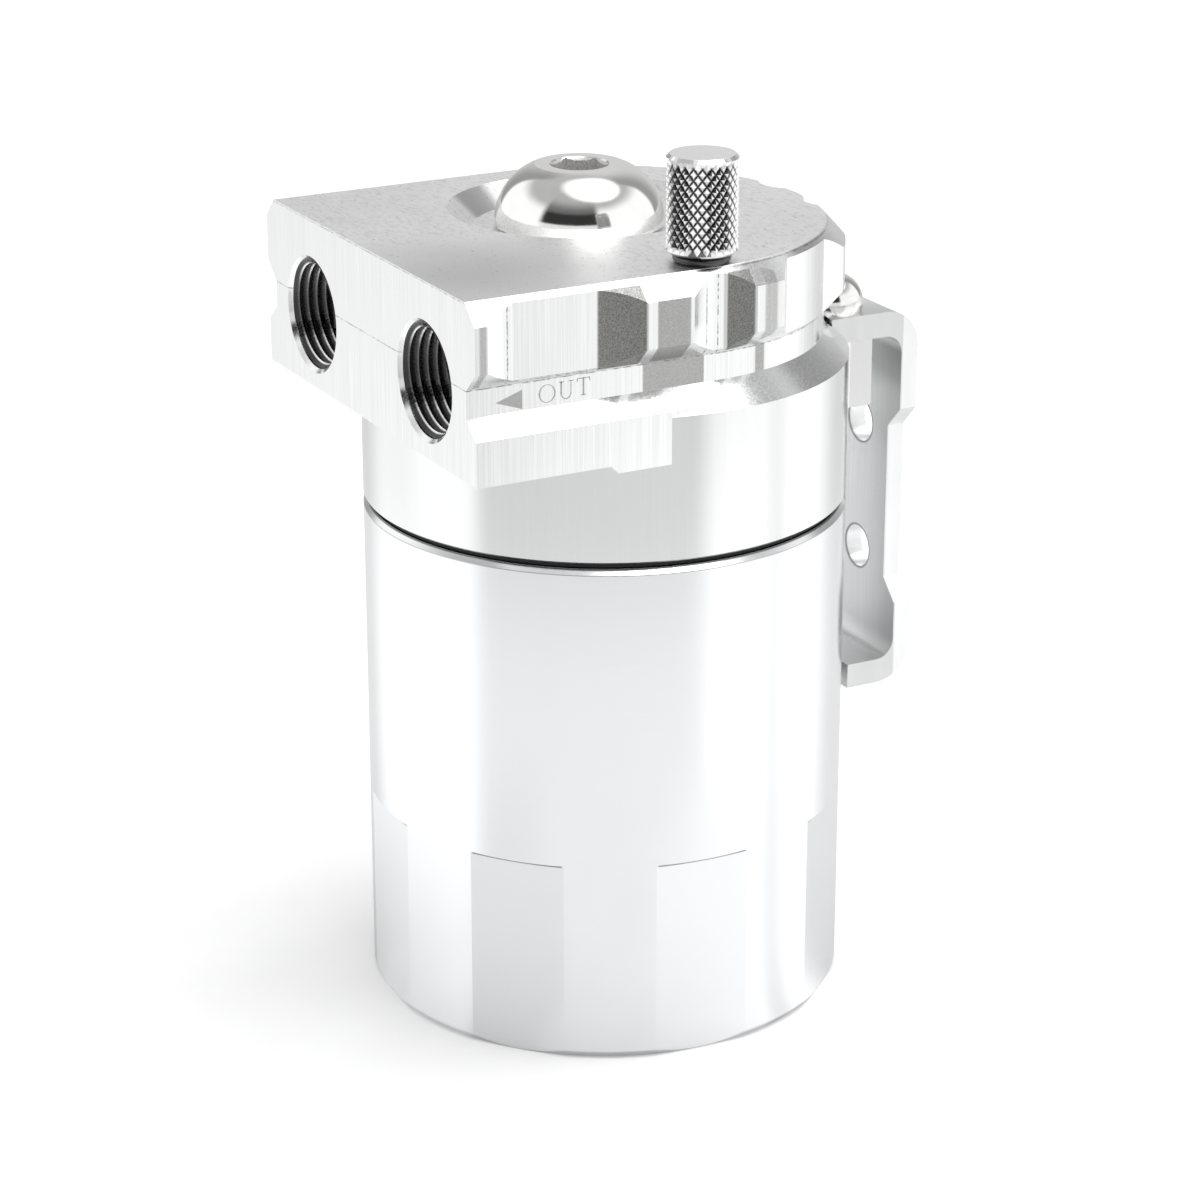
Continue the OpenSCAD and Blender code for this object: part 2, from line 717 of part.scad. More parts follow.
module mesh_pad() color([0.55, 0.56, 0.58]) difference() {
    translate([0, 0, baffle_top_z]) cylinder(r = mesh_r, h = mesh_h);
    translate([-drop_x, -drop_y, baffle_top_z - cut])
        cylinder(r = drop_r + clear_gap, h = mesh_h + 2 * cut);
}

module baffle_spacer(angle) color(silver) rotate(angle)
    translate([spacer_ring, 0, baffle_top_z]) difference() {
        cylinder(r = spacer_r, h = spacer_len);
        translate([0, 0, -cut]) cylinder(r = small_screw_r + clear_gap, h = spacer_len + 2 * cut);
    }

module baffle_screw(angle) color(bright) rotate(angle)
    translate([spacer_ring, 0, baffle_z]) rotate([180, 0, 0])
        domed_screw(small_head_r, small_head_h, small_screw_r - close_gap,
                    baffle_t + spacer_len + small_screw_depth - tip_room,
                    small_hex, small_hex_depth);

head();
can();
can_seal();
breather_plug();
plug_washer();
dipstick_knob();
dipstick_rod();
dipstick_seal();
bracket();
bracket_screw(-1);  // bracket_screw_1
bracket_screw(1);  // bracket_screw_2
inlet_tube();
baffle_disc();
mesh_pad();
for (i = [0 : spacer_count - 1]) {
    baffle_spacer(spacer_angles[i]);
    baffle_screw(spacer_angles[i]);
}
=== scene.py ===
import json
import math

import bmesh
import bpy
from mathutils import Matrix, Vector


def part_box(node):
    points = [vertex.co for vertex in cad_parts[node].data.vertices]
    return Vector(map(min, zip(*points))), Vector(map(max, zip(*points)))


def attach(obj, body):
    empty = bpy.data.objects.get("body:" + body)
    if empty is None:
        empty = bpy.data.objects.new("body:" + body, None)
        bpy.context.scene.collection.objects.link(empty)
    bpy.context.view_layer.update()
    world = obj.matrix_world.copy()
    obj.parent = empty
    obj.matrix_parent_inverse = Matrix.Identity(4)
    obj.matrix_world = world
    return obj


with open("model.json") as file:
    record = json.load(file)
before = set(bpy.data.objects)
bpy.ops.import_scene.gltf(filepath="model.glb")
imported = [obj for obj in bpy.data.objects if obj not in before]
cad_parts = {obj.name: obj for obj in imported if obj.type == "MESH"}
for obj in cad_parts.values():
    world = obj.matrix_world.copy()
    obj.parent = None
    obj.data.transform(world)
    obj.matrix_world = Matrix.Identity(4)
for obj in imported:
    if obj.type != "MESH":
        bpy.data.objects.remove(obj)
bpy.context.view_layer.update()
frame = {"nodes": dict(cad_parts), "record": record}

nodes = frame["nodes"]


# Head: one block of aluminium, milled to a D outline with grip lugs and a grooved neck,
# then clear anodised. Its top is blasted dull, its sides keep the upright marks of the
# cutter and its ports have painted shade inside. Every other piece is screwed to it or hung from
# it.
MM = 0.001
DEGREES = 180 / math.pi


def new_finish(name, colour, metallic, roughness):
    """A finish with one shader: the material, its node tree and the shader."""
    finish = bpy.data.materials.new(name)
    finish.use_nodes = True
    shader = finish.node_tree.nodes["Principled BSDF"]
    shader.inputs["Base Color"].default_value = (*colour, 1)
    shader.inputs["Metallic"].default_value = metallic
    shader.inputs["Roughness"].default_value = roughness
    return finish, finish.node_tree, shader


def put(tree, kind, links=None, **values):
    """Adds a node, sets its own settings or its inputs, and links what is given."""
    node = tree.nodes.new(kind)
    for word, value in values.items():
        if hasattr(node, word):
            setattr(node, word, value)
        else:
            node.inputs[word.replace("_", " ")].default_value = value
    for socket, source in (links or {}).items():
        tree.links.new(source, node.inputs[socket])
    return node


def reckon(tree, operation, *terms):
    """Math nodes that work on sockets or numbers, two at a time."""
    node = put(tree, "ShaderNodeMath", operation=operation)
    for slot, term in zip(node.inputs, terms[:2]):
        if isinstance(term, (int, float)):
            slot.default_value = term
        else:
            tree.links.new(term, slot)
    if len(terms) > 2:
        return reckon(tree, operation, node.outputs[0], *terms[2:])
    return node.outputs[0]


def total(tree, *terms):
    return reckon(tree, "ADD", *terms)


def product(tree, *terms):
    return reckon(tree, "MULTIPLY", *terms)


def strongest(tree, *terms):
    return reckon(tree, "MAXIMUM", *terms)


def less(tree, whole, part):
    return reckon(tree, "SUBTRACT", whole, part)


def distance(tree, a, b):
    """How far a point lies from an axis, from its two offsets."""
    return reckon(tree, "SQRT", total(tree, product(tree, a, a), product(tree, b, b)))


def bearing_of(tree, x, y):
    """Bearing in degrees from the front, -Y, toward the outlet's side, +X."""
    return product(tree, reckon(tree, "ARCTAN2", x, product(tree, y, -1.0)), DEGREES)


def ramp(tree, value, low, high, out_low=0.0, out_high=1.0):
    """Goes softly from out_low to out_high while the value goes from low to high."""
    node = put(tree, "ShaderNodeMapRange", links={"Value": value},
               interpolation_type="SMOOTHSTEP")
    for word, number in (("From Min", low), ("From Max", high),
                         ("To Min", out_low), ("To Max", out_high)):
        node.inputs[word].default_value = number
    return node.outputs[0]


def within(tree, axis, low, high, soft):
    """One where a coordinate lies between two places, with soft ends."""
    return product(tree, ramp(tree, axis, low - soft, low + soft),
                   ramp(tree, axis, high - soft, high + soft, 1.0, 0.0))


def patches(tree, axis, rows):
    """The strongest of several bands, each given as low, high, softness and strength."""
    return strongest(tree, *(product(tree, within(tree, axis, low, high, soft), strength)
                             for low, high, soft, strength in rows))


def grain(tree, place, scale, detail=2.0, stretch=(1, 1, 1), turn=(0, 0, 0)):
    """Noise with a number of features per metre, stretched along the axes."""
    turned = put(tree, "ShaderNodeMapping", links={"Vector": place})
    turned.inputs["Scale"].default_value = stretch
    turned.inputs["Rotation"].default_value = turn
    return put(tree, "ShaderNodeTexNoise", links={"Vector": turned.outputs[0]},
               Scale=scale, Detail=detail).outputs["Fac"]


def blend_colour(tree, amount, first, second):
    """Mixes two colours, each a socket or three numbers."""
    mix = put(tree, "ShaderNodeMix", data_type="RGBA")
    tree.links.new(amount, mix.inputs["Factor"])
    for slot, colour in ((mix.inputs[6], first), (mix.inputs[7], second)):
        if isinstance(colour, tuple):
            slot.default_value = (*colour, 1)
        else:
            tree.links.new(colour, slot)
    return mix.outputs[2]


def bump(tree, shader, height, strength, depth, below=None):
    """Bump of a depth in mm on a shader, on top of another bump."""
    node = put(tree, "ShaderNodeBump", links={"Height": height},
               Strength=strength, Distance=depth * MM)
    if below is not None:
        tree.links.new(below, node.inputs["Normal"])
    tree.links.new(node.outputs[0], shader.inputs["Normal"])
    return node.outputs[0]


def place_of(tree):
    """Object coordinates, in metres."""
    return put(tree, "ShaderNodeTexCoord").outputs["Object"]


def split(tree, place):
    """The three parts of a place, in mm."""
    parts = put(tree, "ShaderNodeSeparateXYZ", links={"Vector": place}).outputs
    return [product(tree, part, 1 / MM) for part in parts]


def box_mm(node):
    """Lowest and highest corner of a CAD node, in mm."""
    return [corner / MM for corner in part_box(node)]


head_low, head_high = box_mm("head")
plug_low, plug_high = box_mm("breather_plug")
plug_axis_x = (plug_low.x + plug_high.x) / 2
port_mounts = [m for m in frame["record"]["mounts"] if m["kind"] == "threaded_hole"]
port_x, port_z = abs(port_mounts[0]["pos_m"][0]) / MM, port_mounts[0]["pos_m"][2] / MM

# Depths below the top face, in mm
lug_depths, neck_depths = (0.8, 12.6), (12.9, 17.0)
under_lug_shade_line, burr_line = (12.84, 13.02), (0.16, 0.34)
skirt_start, recess_depth, slope_depth = 20.0, 4.5, 3.25

# Facets painted dark as reflections, with a duller roughness, and thin dark lines beside
# the lugs: from and to along Y in mm, the softness of their ends, and how strong they are
lug_reflection_facets = ((-39.3, -38.2, 0.2, 0.55), (-19.5, -12.7, 0.15, 1.0), (-11.0, -5.6, 0.2, 0.75),
              (1.6, 5.4, 0.15, 1.0), (7.2, 9.6, 0.3, 0.55))
neck_reflection_facets = ((-11.8, -1.7, 0.15, 0.72), (7.4, 9.2, 0.2, 0.72))
dotted_line_bands = ((-34.15, -33.9, 0.06, 1.0), (-2.2, -2.0, 0.06, 1.0), (0.0, 0.2, 0.06, 1.0))
lug_face_x, seat_start, recess_radius, mouth_radius = 33.6, 37.9, 20.5, 8.6
dark_corner_x, dark_corner_y, dark_corner_reach = 21.0, -33.0, 28.0
reflection_fan_bearings = (-69.0, -45.0)

side_metal = (0.80, 0.805, 0.805), (0.90, 0.905, 0.905)
reflection_dark_metal = (0.17, 0.17, 0.165), (0.34, 0.34, 0.33)
blasted_metal = (0.84, 0.845, 0.84), (0.98, 0.985, 0.98)
line_grey, shaded_seat, burr_grey = (0.16, 0.16, 0.16), (0.62, 0.625, 0.62), (0.25, 0.25, 0.25)
cloud_grey, mottle_and_reflection_grey, speck_grey = (0.78, 0.785, 0.78), (0.40, 0.405, 0.40), (0.4, 0.4, 0.4)
bore_shade_black = (0.10, 0.10, 0.10)


def from_port(tree, x, z):
    """How far a point lies from the axis of the port on its side, in mm."""
    return distance(tree, less(tree, reckon(tree, "ABSOLUTE", x), port_x), less(tree, z, port_z))


def milled_head():
    finish, tree, shader = new_finish("milled_head", (0.88, 0.885, 0.885), 1.0, 0.2)
    place = place_of(tree)
    x, y, z = split(tree, place)
    depth = less(tree, head_high.z, z)
    fine = grain(tree, place, 5200, 3.0)
    cloud = grain(tree, place, 60, 3.0)

    # Upright marks of the cutter, fainter on the turned skirt
    turned = product(tree, within(tree, distance(tree, x, y), 37.0, 37.7, 0.1),
                     ramp(tree, depth, skirt_start, skirt_start + 1))
    strokes = less(tree, grain(tree, place, 1.0, 3.0, (4200, 4200, 45)), 0.5)
    marks = total(tree, product(tree, strokes, less(tree, 1.0, product(tree, turned, 0.85))), 0.5)
    side = blend_colour(tree, ramp(tree, marks, 0.35, 0.7), *side_metal)

    # Painted dark reflections on facets, also duller: lug ramps and walls, and the neck under the
    # second and third
    lugs = product(tree, within(tree, depth, *lug_depths, 0.1),
                   ramp(tree, reckon(tree, "ABSOLUTE", x), lug_face_x, lug_face_x + 0.3))
    neck = within(tree, depth, *neck_depths, 0.1)
    painted_reflection_facets = strongest(tree, product(tree, patches(tree, y, lug_reflection_facets), lugs),
                     product(tree, patches(tree, y, neck_reflection_facets), neck))
    grey = blend_colour(tree, ramp(tree, fine, 0.3, 0.7), *reflection_dark_metal)
    side = blend_colour(tree, painted_reflection_facets, side, grey)

    # Fine dark dotted lines beside the lugs, and painted shade as a dotted line in the crease
    # under them
    dots = ramp(tree, grain(tree, place, 1500, 2.0), 0.42, 0.58, 0.1, 0.85)
    beside = product(tree, patches(tree, y, dotted_line_bands), dots, lugs)
    under = product(tree, within(tree, depth, *under_lug_shade_line, 0.04), dots, 0.8)
    side = blend_colour(tree, strongest(tree, beside, under), side, line_grey)

    # The seat behind the skirt is in the shade of the bracket
    side = blend_colour(tree, ramp(tree, y, seat_start, seat_start + 0.2, 0.0, 0.9),
                        side, shaded_seat)

    # Fine broken line where the sides meet the top
    burr = product(tree, within(tree, depth, *burr_line, 0.04),
                   ramp(tree, grain(tree, place, 900, 2.0), 0.4, 0.6, 0.15, 0.6))
    side = blend_colour(tree, burr, side, burr_grey)

    # The top face and the recess round the plug, where a fan of the slope carries a painted
    # reflection
    face = ramp(tree, depth, 0.02, 0.12, 1.0, 0.0)
    off_plug = less(tree, x, plug_axis_x)
    recess = product(tree, ramp(tree, distance(tree, off_plug, y),
                                recess_radius, recess_radius + 0.1, 1.0, 0.0),
                     ramp(tree, depth, recess_depth, recess_depth + 0.5, 1.0, 0.0))
    sloped = product(tree, less(tree, recess, face),
                     ramp(tree, depth, slope_depth, slope_depth + 0.1, 1.0, 0.0))
    reflection_fan = product(tree, within(tree, bearing_of(tree, off_plug, y), *reflection_fan_bearings, 4.0), sloped)
    top = strongest(tree, face, recess)

    # Blasted metal with clouds, darker toward the outlet's corner, mottling, the painted
    # reflection fan and dark specks
    top_tint = blend_colour(tree, ramp(tree, fine, 0.3, 0.72), *blasted_metal)
    top_tint = blend_colour(tree, ramp(tree, cloud, 0.42, 0.62, 0.0, 0.3), top_tint, cloud_grey)
    dark_corner = ramp(tree, distance(tree, less(tree, x, dark_corner_x), less(tree, y, dark_corner_y)),
                 0.0, dark_corner_reach, 0.55, 0.0)
    mottle = ramp(tree, grain(tree, place, 700, 4.0, (1.0, 2.2, 1.0), (0, 0, 0.5)),
                  0.45, 0.75, 0.0, 0.30)
    top_tint = blend_colour(tree, strongest(tree, dark_corner, mottle, product(tree, reflection_fan, 0.8)),
                        top_tint, mottle_and_reflection_grey)
    specks = ramp(tree, grain(tree, place, 1700, 1.0), 0.70, 0.76, 0.0, 0.7)
    top_tint = blend_colour(tree, specks, top_tint, speck_grey)
    colour = blend_colour(tree, top, side, top_tint)

    # Painted shade inside the ports
    bore_shade = product(tree, ramp(tree, from_port(tree, x, z),
                              mouth_radius, mouth_radius + 0.15, 1.0, 0.0),
                   within(tree, y, head_low.y + 1.5, head_low.y + 30, 1.0))
    tree.links.new(blend_colour(tree, bore_shade, colour, bore_shade_black), shader.inputs["Base Color"])
    rough = total(tree, ramp(tree, marks, 0.3, 0.7, 0.12, 0.2), product(tree, top, 0.24),
                  product(tree, painted_reflection_facets, 0.2), product(tree, bore_shade, 0.2))
    tree.links.new(rough, shader.inputs["Roughness"])
    cut = bump(tree, shader, product(tree, marks, less(tree, 1.0, top)), 0.15, 0.02)
    bump(tree, shader, product(tree, fine, top), 0.5, 0.03, cut)
    return finish


nodes["head"].data.materials[0] = milled_head()


# Port threads: the pipe threads cut in the two ports. Their crests carry a painted highlight
# toward the top and foot of each bore and painted shade at mid height, and their roots are
# painted dark as shade. Each is one ridge on a helix, swept by a node tree.
crest_radius, root_shade_black = 7.85, (0.06, 0.06, 0.06)
crest_shade, crest_highlight = (0.08, 0.08, 0.08), (0.95, 0.95, 0.95)


def sized_tree(name, sizes):
    """A node tree with one named input for each size."""
    tree = bpy.data.node_groups.new(name, "GeometryNodeTree")
    tree.interface.new_socket("Geometry", in_out="OUTPUT", socket_type="NodeSocketGeometry")
    names = {}
    for word, value in sizes.items():
        kind = "Material" if isinstance(value, bpy.types.Material) else "Float"
        names[word] = tree.interface.new_socket(word, in_out="INPUT",
                                                socket_type="NodeSocket" + kind).identifier
    return tree, tree.nodes.new("NodeGroupInput"), tree.nodes.new("NodeGroupOutput"), names


def mesh_from(tree, name, names, sizes):
    """Runs a node tree once and keeps its result as a plain mesh object."""
    carrier = bpy.data.objects.new(name + "_tree", bpy.data.meshes.new(name + "_tree"))
    bpy.context.scene.collection.objects.link(carrier)
    worker = carrier.modifiers.new("tree", "NODES")
    worker.node_group = tree
    for word, value in sizes.items():
        worker[names[word]] = value
    view = bpy.context.evaluated_depsgraph_get()
    mesh = bpy.data.meshes.new_from_object(carrier.evaluated_get(view))
    bpy.data.objects.remove(carrier)
    piece = bpy.data.objects.new(name, mesh)
    mesh.name = name
    bpy.context.scene.collection.objects.link(piece)
    return piece


def thread_finish():
    finish, tree, shader = new_finish("tapped_thread", (0.8, 0.8, 0.8), 1.0, 0.22)
    place = place_of(tree)
    x, _, z = split(tree, place)
    # Painted highlight on the crests toward the top and foot of the bore, painted shade on them
    # at mid height and on the roots
    crest = ramp(tree, from_port(tree, x, z), crest_radius, crest_radius + 0.2, 1.0, 0.0)
    ends = ramp(tree, reckon(tree, "ABSOLUTE", less(tree, z, port_z)), 2.5, 7.5, 0.08, 1.0)
    lit = blend_colour(tree, ends, crest_shade, crest_highlight)
    tree.links.new(blend_colour(tree, crest, root_shade_black, lit), shader.inputs["Base Color"])
    scuffs = grain(tree, place, 2500, 2.0)
    tree.links.new(ramp(tree, scuffs, 0.3, 0.7, 0.12, 0.34), shader.inputs["Roughness"])
    bump(tree, shader, scuffs, 0.2, 0.02)
    return finish


def thread_tree(sizes):
    tree, given, result, names = sized_tree("helix_ridge", sizes)
    helix = put(tree, "GeometryNodeCurveSpiral", Resolution=64)
    turns = put(tree, "ShaderNodeMath", operation="DIVIDE")
    link = tree.links.new
    link(given.outputs["Length"], turns.inputs[0])
    link(given.outputs["Pitch"], turns.inputs[1])
    link(turns.outputs[0], helix.inputs["Rotations"])
    link(given.outputs["Length"], helix.inputs["Height"])
    link(given.outputs["Radius"], helix.inputs["Start Radius"])
    link(given.outputs["Radius"], helix.inputs["End Radius"])
    upright = put(tree, "GeometryNodeSetCurveNormal", links={"Curve": helix.outputs[0]},
                  mode="Z_UP")
    outline = put(tree, "GeometryNodeCurvePrimitiveCircle", Resolution=4)
    link(given.outputs["Ridge"], outline.inputs["Radius"])
    swept = put(tree, "GeometryNodeCurveToMesh",
                links={"Curve": upright.outputs[0], "Profile Curve": outline.outputs[0]})
    swept.inputs["Fill Caps"].default_value = True
    flat = put(tree, "GeometryNodeSetShadeSmooth", links={"Geometry": swept.outputs[0]})
    flat.inputs["Shade Smooth"].default_value = False
    real = put(tree, "GeometryNodeRealizeInstances", links={"Geometry": flat.outputs[0]})
    dressed = put(tree, "GeometryNodeSetMaterial", links={"Geometry": real.outputs[0],
                                                         "Material": given.outputs["Finish"]})
    link(dressed.outputs[0], result.inputs[0])
    return tree, names


port_sizes = {"Radius": 8.5 * MM, "Length": 14.6 * MM, "Pitch": 1.5 * MM, "Ridge": 0.72 * MM,
              "Finish": thread_finish()}
port_tree, port_names = thread_tree(port_sizes)
for mount in port_mounts:
    thread = mesh_from(port_tree, mount["name"] + "_thread", port_names, port_sizes)
    mouth = Vector(mount["pos_m"])
    thread.data.transform(Matrix.Translation(mouth) @ Matrix.Rotation(math.radians(-90), 4, "X"))
    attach(thread, "head")


# Flow marks: a filled arrow and a word on each side of the neck, etched in the metal.
# They say which port the gas leaves by and which it enters by.
etched_dots = (0.36, 0.36, 0.35), (0.50, 0.50, 0.49)
neck_wall_x, mark_sunk, mark_proud = 33.5, 0.05, 0.02
arrow_ends, arrow_middle, arrow_base = (-35.4, -31.2), 108.0, (109.4, 106.55)
word_start, word_low, word_size, letter_gap = -28.7, 106.95, 2.6, 0.14
hair, stem, serif, bowl_line = 0.045, 0.10, 0.05, 0.06


def mark_finish():
    finish, tree, shader = new_finish("etched_mark", (0.4, 0.4, 0.4), 0.6, 0.5)
    dots = grain(tree, place_of(tree), 9000, 2.0)
    tree.links.new(blend_colour(tree, ramp(tree, dots, 0.35, 0.65), *etched_dots),
                   shader.inputs["Base Color"])
    tree.links.new(ramp(tree, dots, 0.3, 0.7, 0.4, 0.6), shader.inputs["Roughness"])
    bump(tree, shader, dots, 0.3, 0.02)
    return finish


def bar(x0, y0, x1, y1, width):
    """A stroke from one point to another, as four corners."""
    along = Vector((x1 - x0, y1 - y0)).normalized() * width / 2
    return [(x0 - along.y, y0 + along.x), (x0 + along.y, y0 - along.x),
            (x1 + along.y, y1 - along.x), (x1 - along.y, y1 + along.x)]


def ring(steps=40, centre=(0.56, 0.5), reach=0.52, inner=(0.83, 0.93)):
    """The strokes of an O, thicker at its sides than at its top and foot."""
    strokes = []
    for step in range(steps):
        start, end = 2 * math.pi * step / steps, 2 * math.pi * (step + 1) / steps
        strokes.append([(centre[0] + reach * wide * math.cos(turn),
                         centre[1] + reach * tall * math.sin(turn))
                        for turn, (wide, tall) in ((start, (1, 1)), (end, (1, 1)),
                                                   (end, inner), (start, inner))])
    return strokes


def bowl(steps=10, centre=(0.47, 0.32), reach=(0.30, 0.33)):
    """The strokes of the round foot of a U."""
    spots = [(centre[0] - reach[0] * math.cos(math.pi * step / steps),
              centre[1] - reach[1] * math.sin(math.pi * step / steps))
             for step in range(steps + 1)]
    return [bar(*start, *end, bowl_line) for start, end in zip(spots, spots[1:])]


# Thin serif capitals, one unit high: their strokes and their width
letters = {
    "O": (ring(), 1.12),
    "U": ([bar(0.17, 1, 0.17, 0.3, stem), bar(0.77, 1, 0.77, 0.3, hair),
           bar(0.02, 0.98, 0.34, 0.98, serif), bar(0.62, 0.98, 0.92, 0.98, serif)] + bowl(),
          0.98),
    "T": ([bar(0.42, 0.98, 0.42, 0.02, stem), bar(0.03, 0.97, 0.81, 0.97, serif),
           bar(0.05, 0.98, 0.02, 0.78, serif), bar(0.79, 0.98, 0.82, 0.78, serif),
           bar(0.26, 0.02, 0.58, 0.02, serif)], 0.86),
    "I": ([bar(0.2, 0.98, 0.2, 0.02, stem), bar(0.04, 0.98, 0.36, 0.98, serif),
           bar(0.04, 0.02, 0.36, 0.02, serif)], 0.46),
    "N": ([bar(0.17, 0.98, 0.17, 0.02, hair), bar(0.12, 0.98, 0.8, 0.04, stem),
           bar(0.78, 0.98, 0.78, 0.02, hair), bar(0.02, 0.98, 0.22, 0.98, serif),
           bar(0.04, 0.02, 0.3, 0.02, serif), bar(0.64, 0.98, 0.92, 0.98, serif)], 1.0),
}


def word_shapes(word, side, climb):
    """Corners of a word's strokes as Y and Z in mm, to be read from outside its wall."""
    shapes, pen = [], word_start
    end = word_start + sum((letters[sign][1] + letter_gap) * word_size for sign in word)
    for sign in word:
        strokes, width = letters[sign]
        low = word_low + climb * (pen - word_start)
        for stroke in strokes:
            spots = [(pen + u * word_size, low + v * word_size) for u, v in stroke]
            shapes.append([(y if side > 0 else word_start + end - y, z) for y, z in spots])
        pen += (width + letter_gap) * word_size
    return shapes


def flow_mark(name, word, side, points_in, climb):
    """Word and arrow on a neck wall, as thin plates that stand a hair proud."""
    tip, tail = reversed(arrow_ends) if points_in else arrow_ends
    arrow = [(tip, arrow_middle), (tail, arrow_base[0]), (tail, arrow_base[1])]
    mesh = bmesh.new()
    for shape in [arrow] + word_shapes(word, side, climb):
        rows = [[mesh.verts.new((side * x * MM, y * MM, z * MM)) for y, z in shape]
                for x in (neck_wall_x - mark_sunk, neck_wall_x + mark_proud)]
        mesh.faces.new(rows[0])
        mesh.faces.new(list(reversed(rows[1])))
        for i in range(len(shape)):
            j = (i + 1) % len(shape)
            mesh.faces.new((rows[0][j], rows[0][i], rows[1][i], rows[1][j]))
    bmesh.ops.recalc_face_normals(mesh, faces=mesh.faces)
    plate = bpy.data.meshes.new(name)
    mesh.to_mesh(plate)
    mesh.free()
    piece = bpy.data.objects.new(name, plate)
    bpy.context.scene.collection.objects.link(piece)
    plate.materials.append(etched)
    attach(piece, "head")


etched = mark_finish()
flow_mark("outlet_mark", "OUT", 1, False, 0.045)
flow_mark("inlet_mark", "IN", -1, True, 0.0)


# Can: a cup turned from bar, clear anodised satin, with eight flats milled round its
# foot to grip it by. It screws up over the spigot of the head.
can_high = box_mm("can")[1]
flat_top, flat_cut_slope = 32.2, 0.37
can_metal, can_haze = ((0.875, 0.88, 0.89), (0.895, 0.90, 0.91)), (0.87, 0.88, 0.895)
can_shade_line = (0.10, 0.10, 0.10)


def turned_can():
    finish, tree, shader = new_finish("turned_can", (0.88, 0.885, 0.895), 1.0, 0.2)
    place = place_of(tree)
    x, y, z = split(tree, place)
    rings = grain(tree, place, 1.0, 3.0, (30, 30, 14000))
    haze = grain(tree, place, 45, 3.0)
    grit = grain(tree, place, 7000, 2.0)
    tint = blend_colour(tree, ramp(tree, rings, 0.35, 0.7), *can_metal)
    tint = blend_colour(tree, ramp(tree, haze, 0.4, 0.7, 0.0, 0.3), tint, can_haze)

    # Painted shade as fine dark lines at the rim and its bevel by the seam, and under the ledge
    # at the top of each flat
    from_rim = less(tree, can_high.z, z)
    bevel_line = product(tree, within(tree, from_rim, 0.80, 0.95, 0.05), 0.55)
    rim_line = ramp(tree, from_rim, 0.12, 0.30, 0.9, 0.0)
    cut_in = less(tree, can_high.x, distance(tree, x, y))
    below_cut = less(tree, less(tree, flat_top, z), product(tree, cut_in, flat_cut_slope))
    flat_line = product(tree, ramp(tree, below_cut, 0.16, 0.34, 0.75, 0.0),
                        ramp(tree, cut_in, 0.03, 0.08),
                        ramp(tree, z, flat_top, flat_top + 0.05, 1.0, 0.0))
    lines = strongest(tree, bevel_line, rim_line, flat_line)
    tree.links.new(blend_colour(tree, lines, tint, can_shade_line), shader.inputs["Base Color"])
    tree.links.new(ramp(tree, grit, 0.3, 0.7, 0.17, 0.23), shader.inputs["Roughness"])
    first = bump(tree, shader, rings, 0.03, 0.01)
    bump(tree, shader, grit, 0.06, 0.01, first)
    return finish


nodes["can"].data.materials[0] = turned_can()


# Seals: a black rubber ring squeezed in the seam between can and head, the washer
# under the plug, and an oiled ring under the knob of the dipstick.
rubber_black = (0.008, 0.008, 0.009), (0.02, 0.02, 0.021)


def rubber(name, smoothest, shine):
    finish, tree, shader = new_finish(name, (0.012, 0.012, 0.013), 0.0, smoothest)
    skin = grain(tree, place_of(tree), 3000, 3.0)
    tree.links.new(blend_colour(tree, ramp(tree, skin, 0.35, 0.65), *rubber_black),
                   shader.inputs["Base Color"])
    tree.links.new(ramp(tree, skin, 0.3, 0.7, smoothest, smoothest + 0.2),
                   shader.inputs["Roughness"])
    shader.inputs["Specular IOR Level"].default_value = shine
    bump(tree, shader, skin, 0.2, 0.02)
    return finish


seal_rubber = rubber("seal_rubber_black", 0.4, 0.2)
nodes["can_seal"].data.materials[0] = seal_rubber
nodes["plug_washer"].data.materials[0] = seal_rubber
nodes["dipstick_seal"].data.materials[0] = rubber("oiled_rubber_black", 0.08, 0.9)


# Breather plug: bright plated steel with a domed head and a hexagonal socket whose inside
# is painted darker as shade and is duller. It closes the hole by which the can is vented.
socket_reach, socket_rim = 5.6, 0.1
socket_shade_metal = (0.42, 0.41, 0.40), (0.62, 0.61, 0.60)
dome_metal = (0.90, 0.895, 0.885), (0.94, 0.935, 0.925)


def domed_plug():
    finish, tree, shader = new_finish("domed_plug", (0.93, 0.925, 0.915), 1.0, 0.08)
    place = place_of(tree)
    x, y, z = split(tree, place)
    out = distance(tree, less(tree, x, plug_axis_x), y)
    # Painted shade inside the hexagonal socket, which is also rougher and less metallic
    socket = product(tree, ramp(tree, less(tree, plug_high.z, z), socket_rim, 0.25),
                     ramp(tree, out, socket_reach, socket_reach + 0.3, 1.0, 0.0))
    grit = grain(tree, place, 3800, 2.0)
    socket_shaded = blend_colour(tree, ramp(tree, grit, 0.35, 0.65), *socket_shade_metal)
    haze = blend_colour(tree, ramp(tree, grain(tree, place, 300, 3.0), 0.35, 0.7), *dome_metal)
    tree.links.new(blend_colour(tree, socket, haze, socket_shaded), shader.inputs["Base Color"])
    tree.links.new(less(tree, 1.0, product(tree, socket, 0.6)), shader.inputs["Metallic"])
    tree.links.new(total(tree, ramp(tree, grit, 0.3, 0.7, 0.06, 0.11),
                         product(tree, socket, 0.4)), shader.inputs["Roughness"])
    bump(tree, shader, grit, 0.05, 0.01)
    return finish


nodes["breather_plug"].data.materials[0] = domed_plug()


# Dipstick: a plated steel rod screwed into the head beside the plug, with a knob that
# is knurled in diamonds and turned by hand. Its grooves are painted dark as shade.
knob_low, knob_high = box_mm("dipstick_knob")
knurl_reach, knurl_end, lid_edge = 0.42, 0.4, 0.01
knob_metal, groove_shade_black = (0.92, 0.92, 0.92), (0.03, 0.03, 0.03)
plated_metal = (0.90, 0.895, 0.885)
plated_shade = tuple(0.93 * part for part in plated_metal)


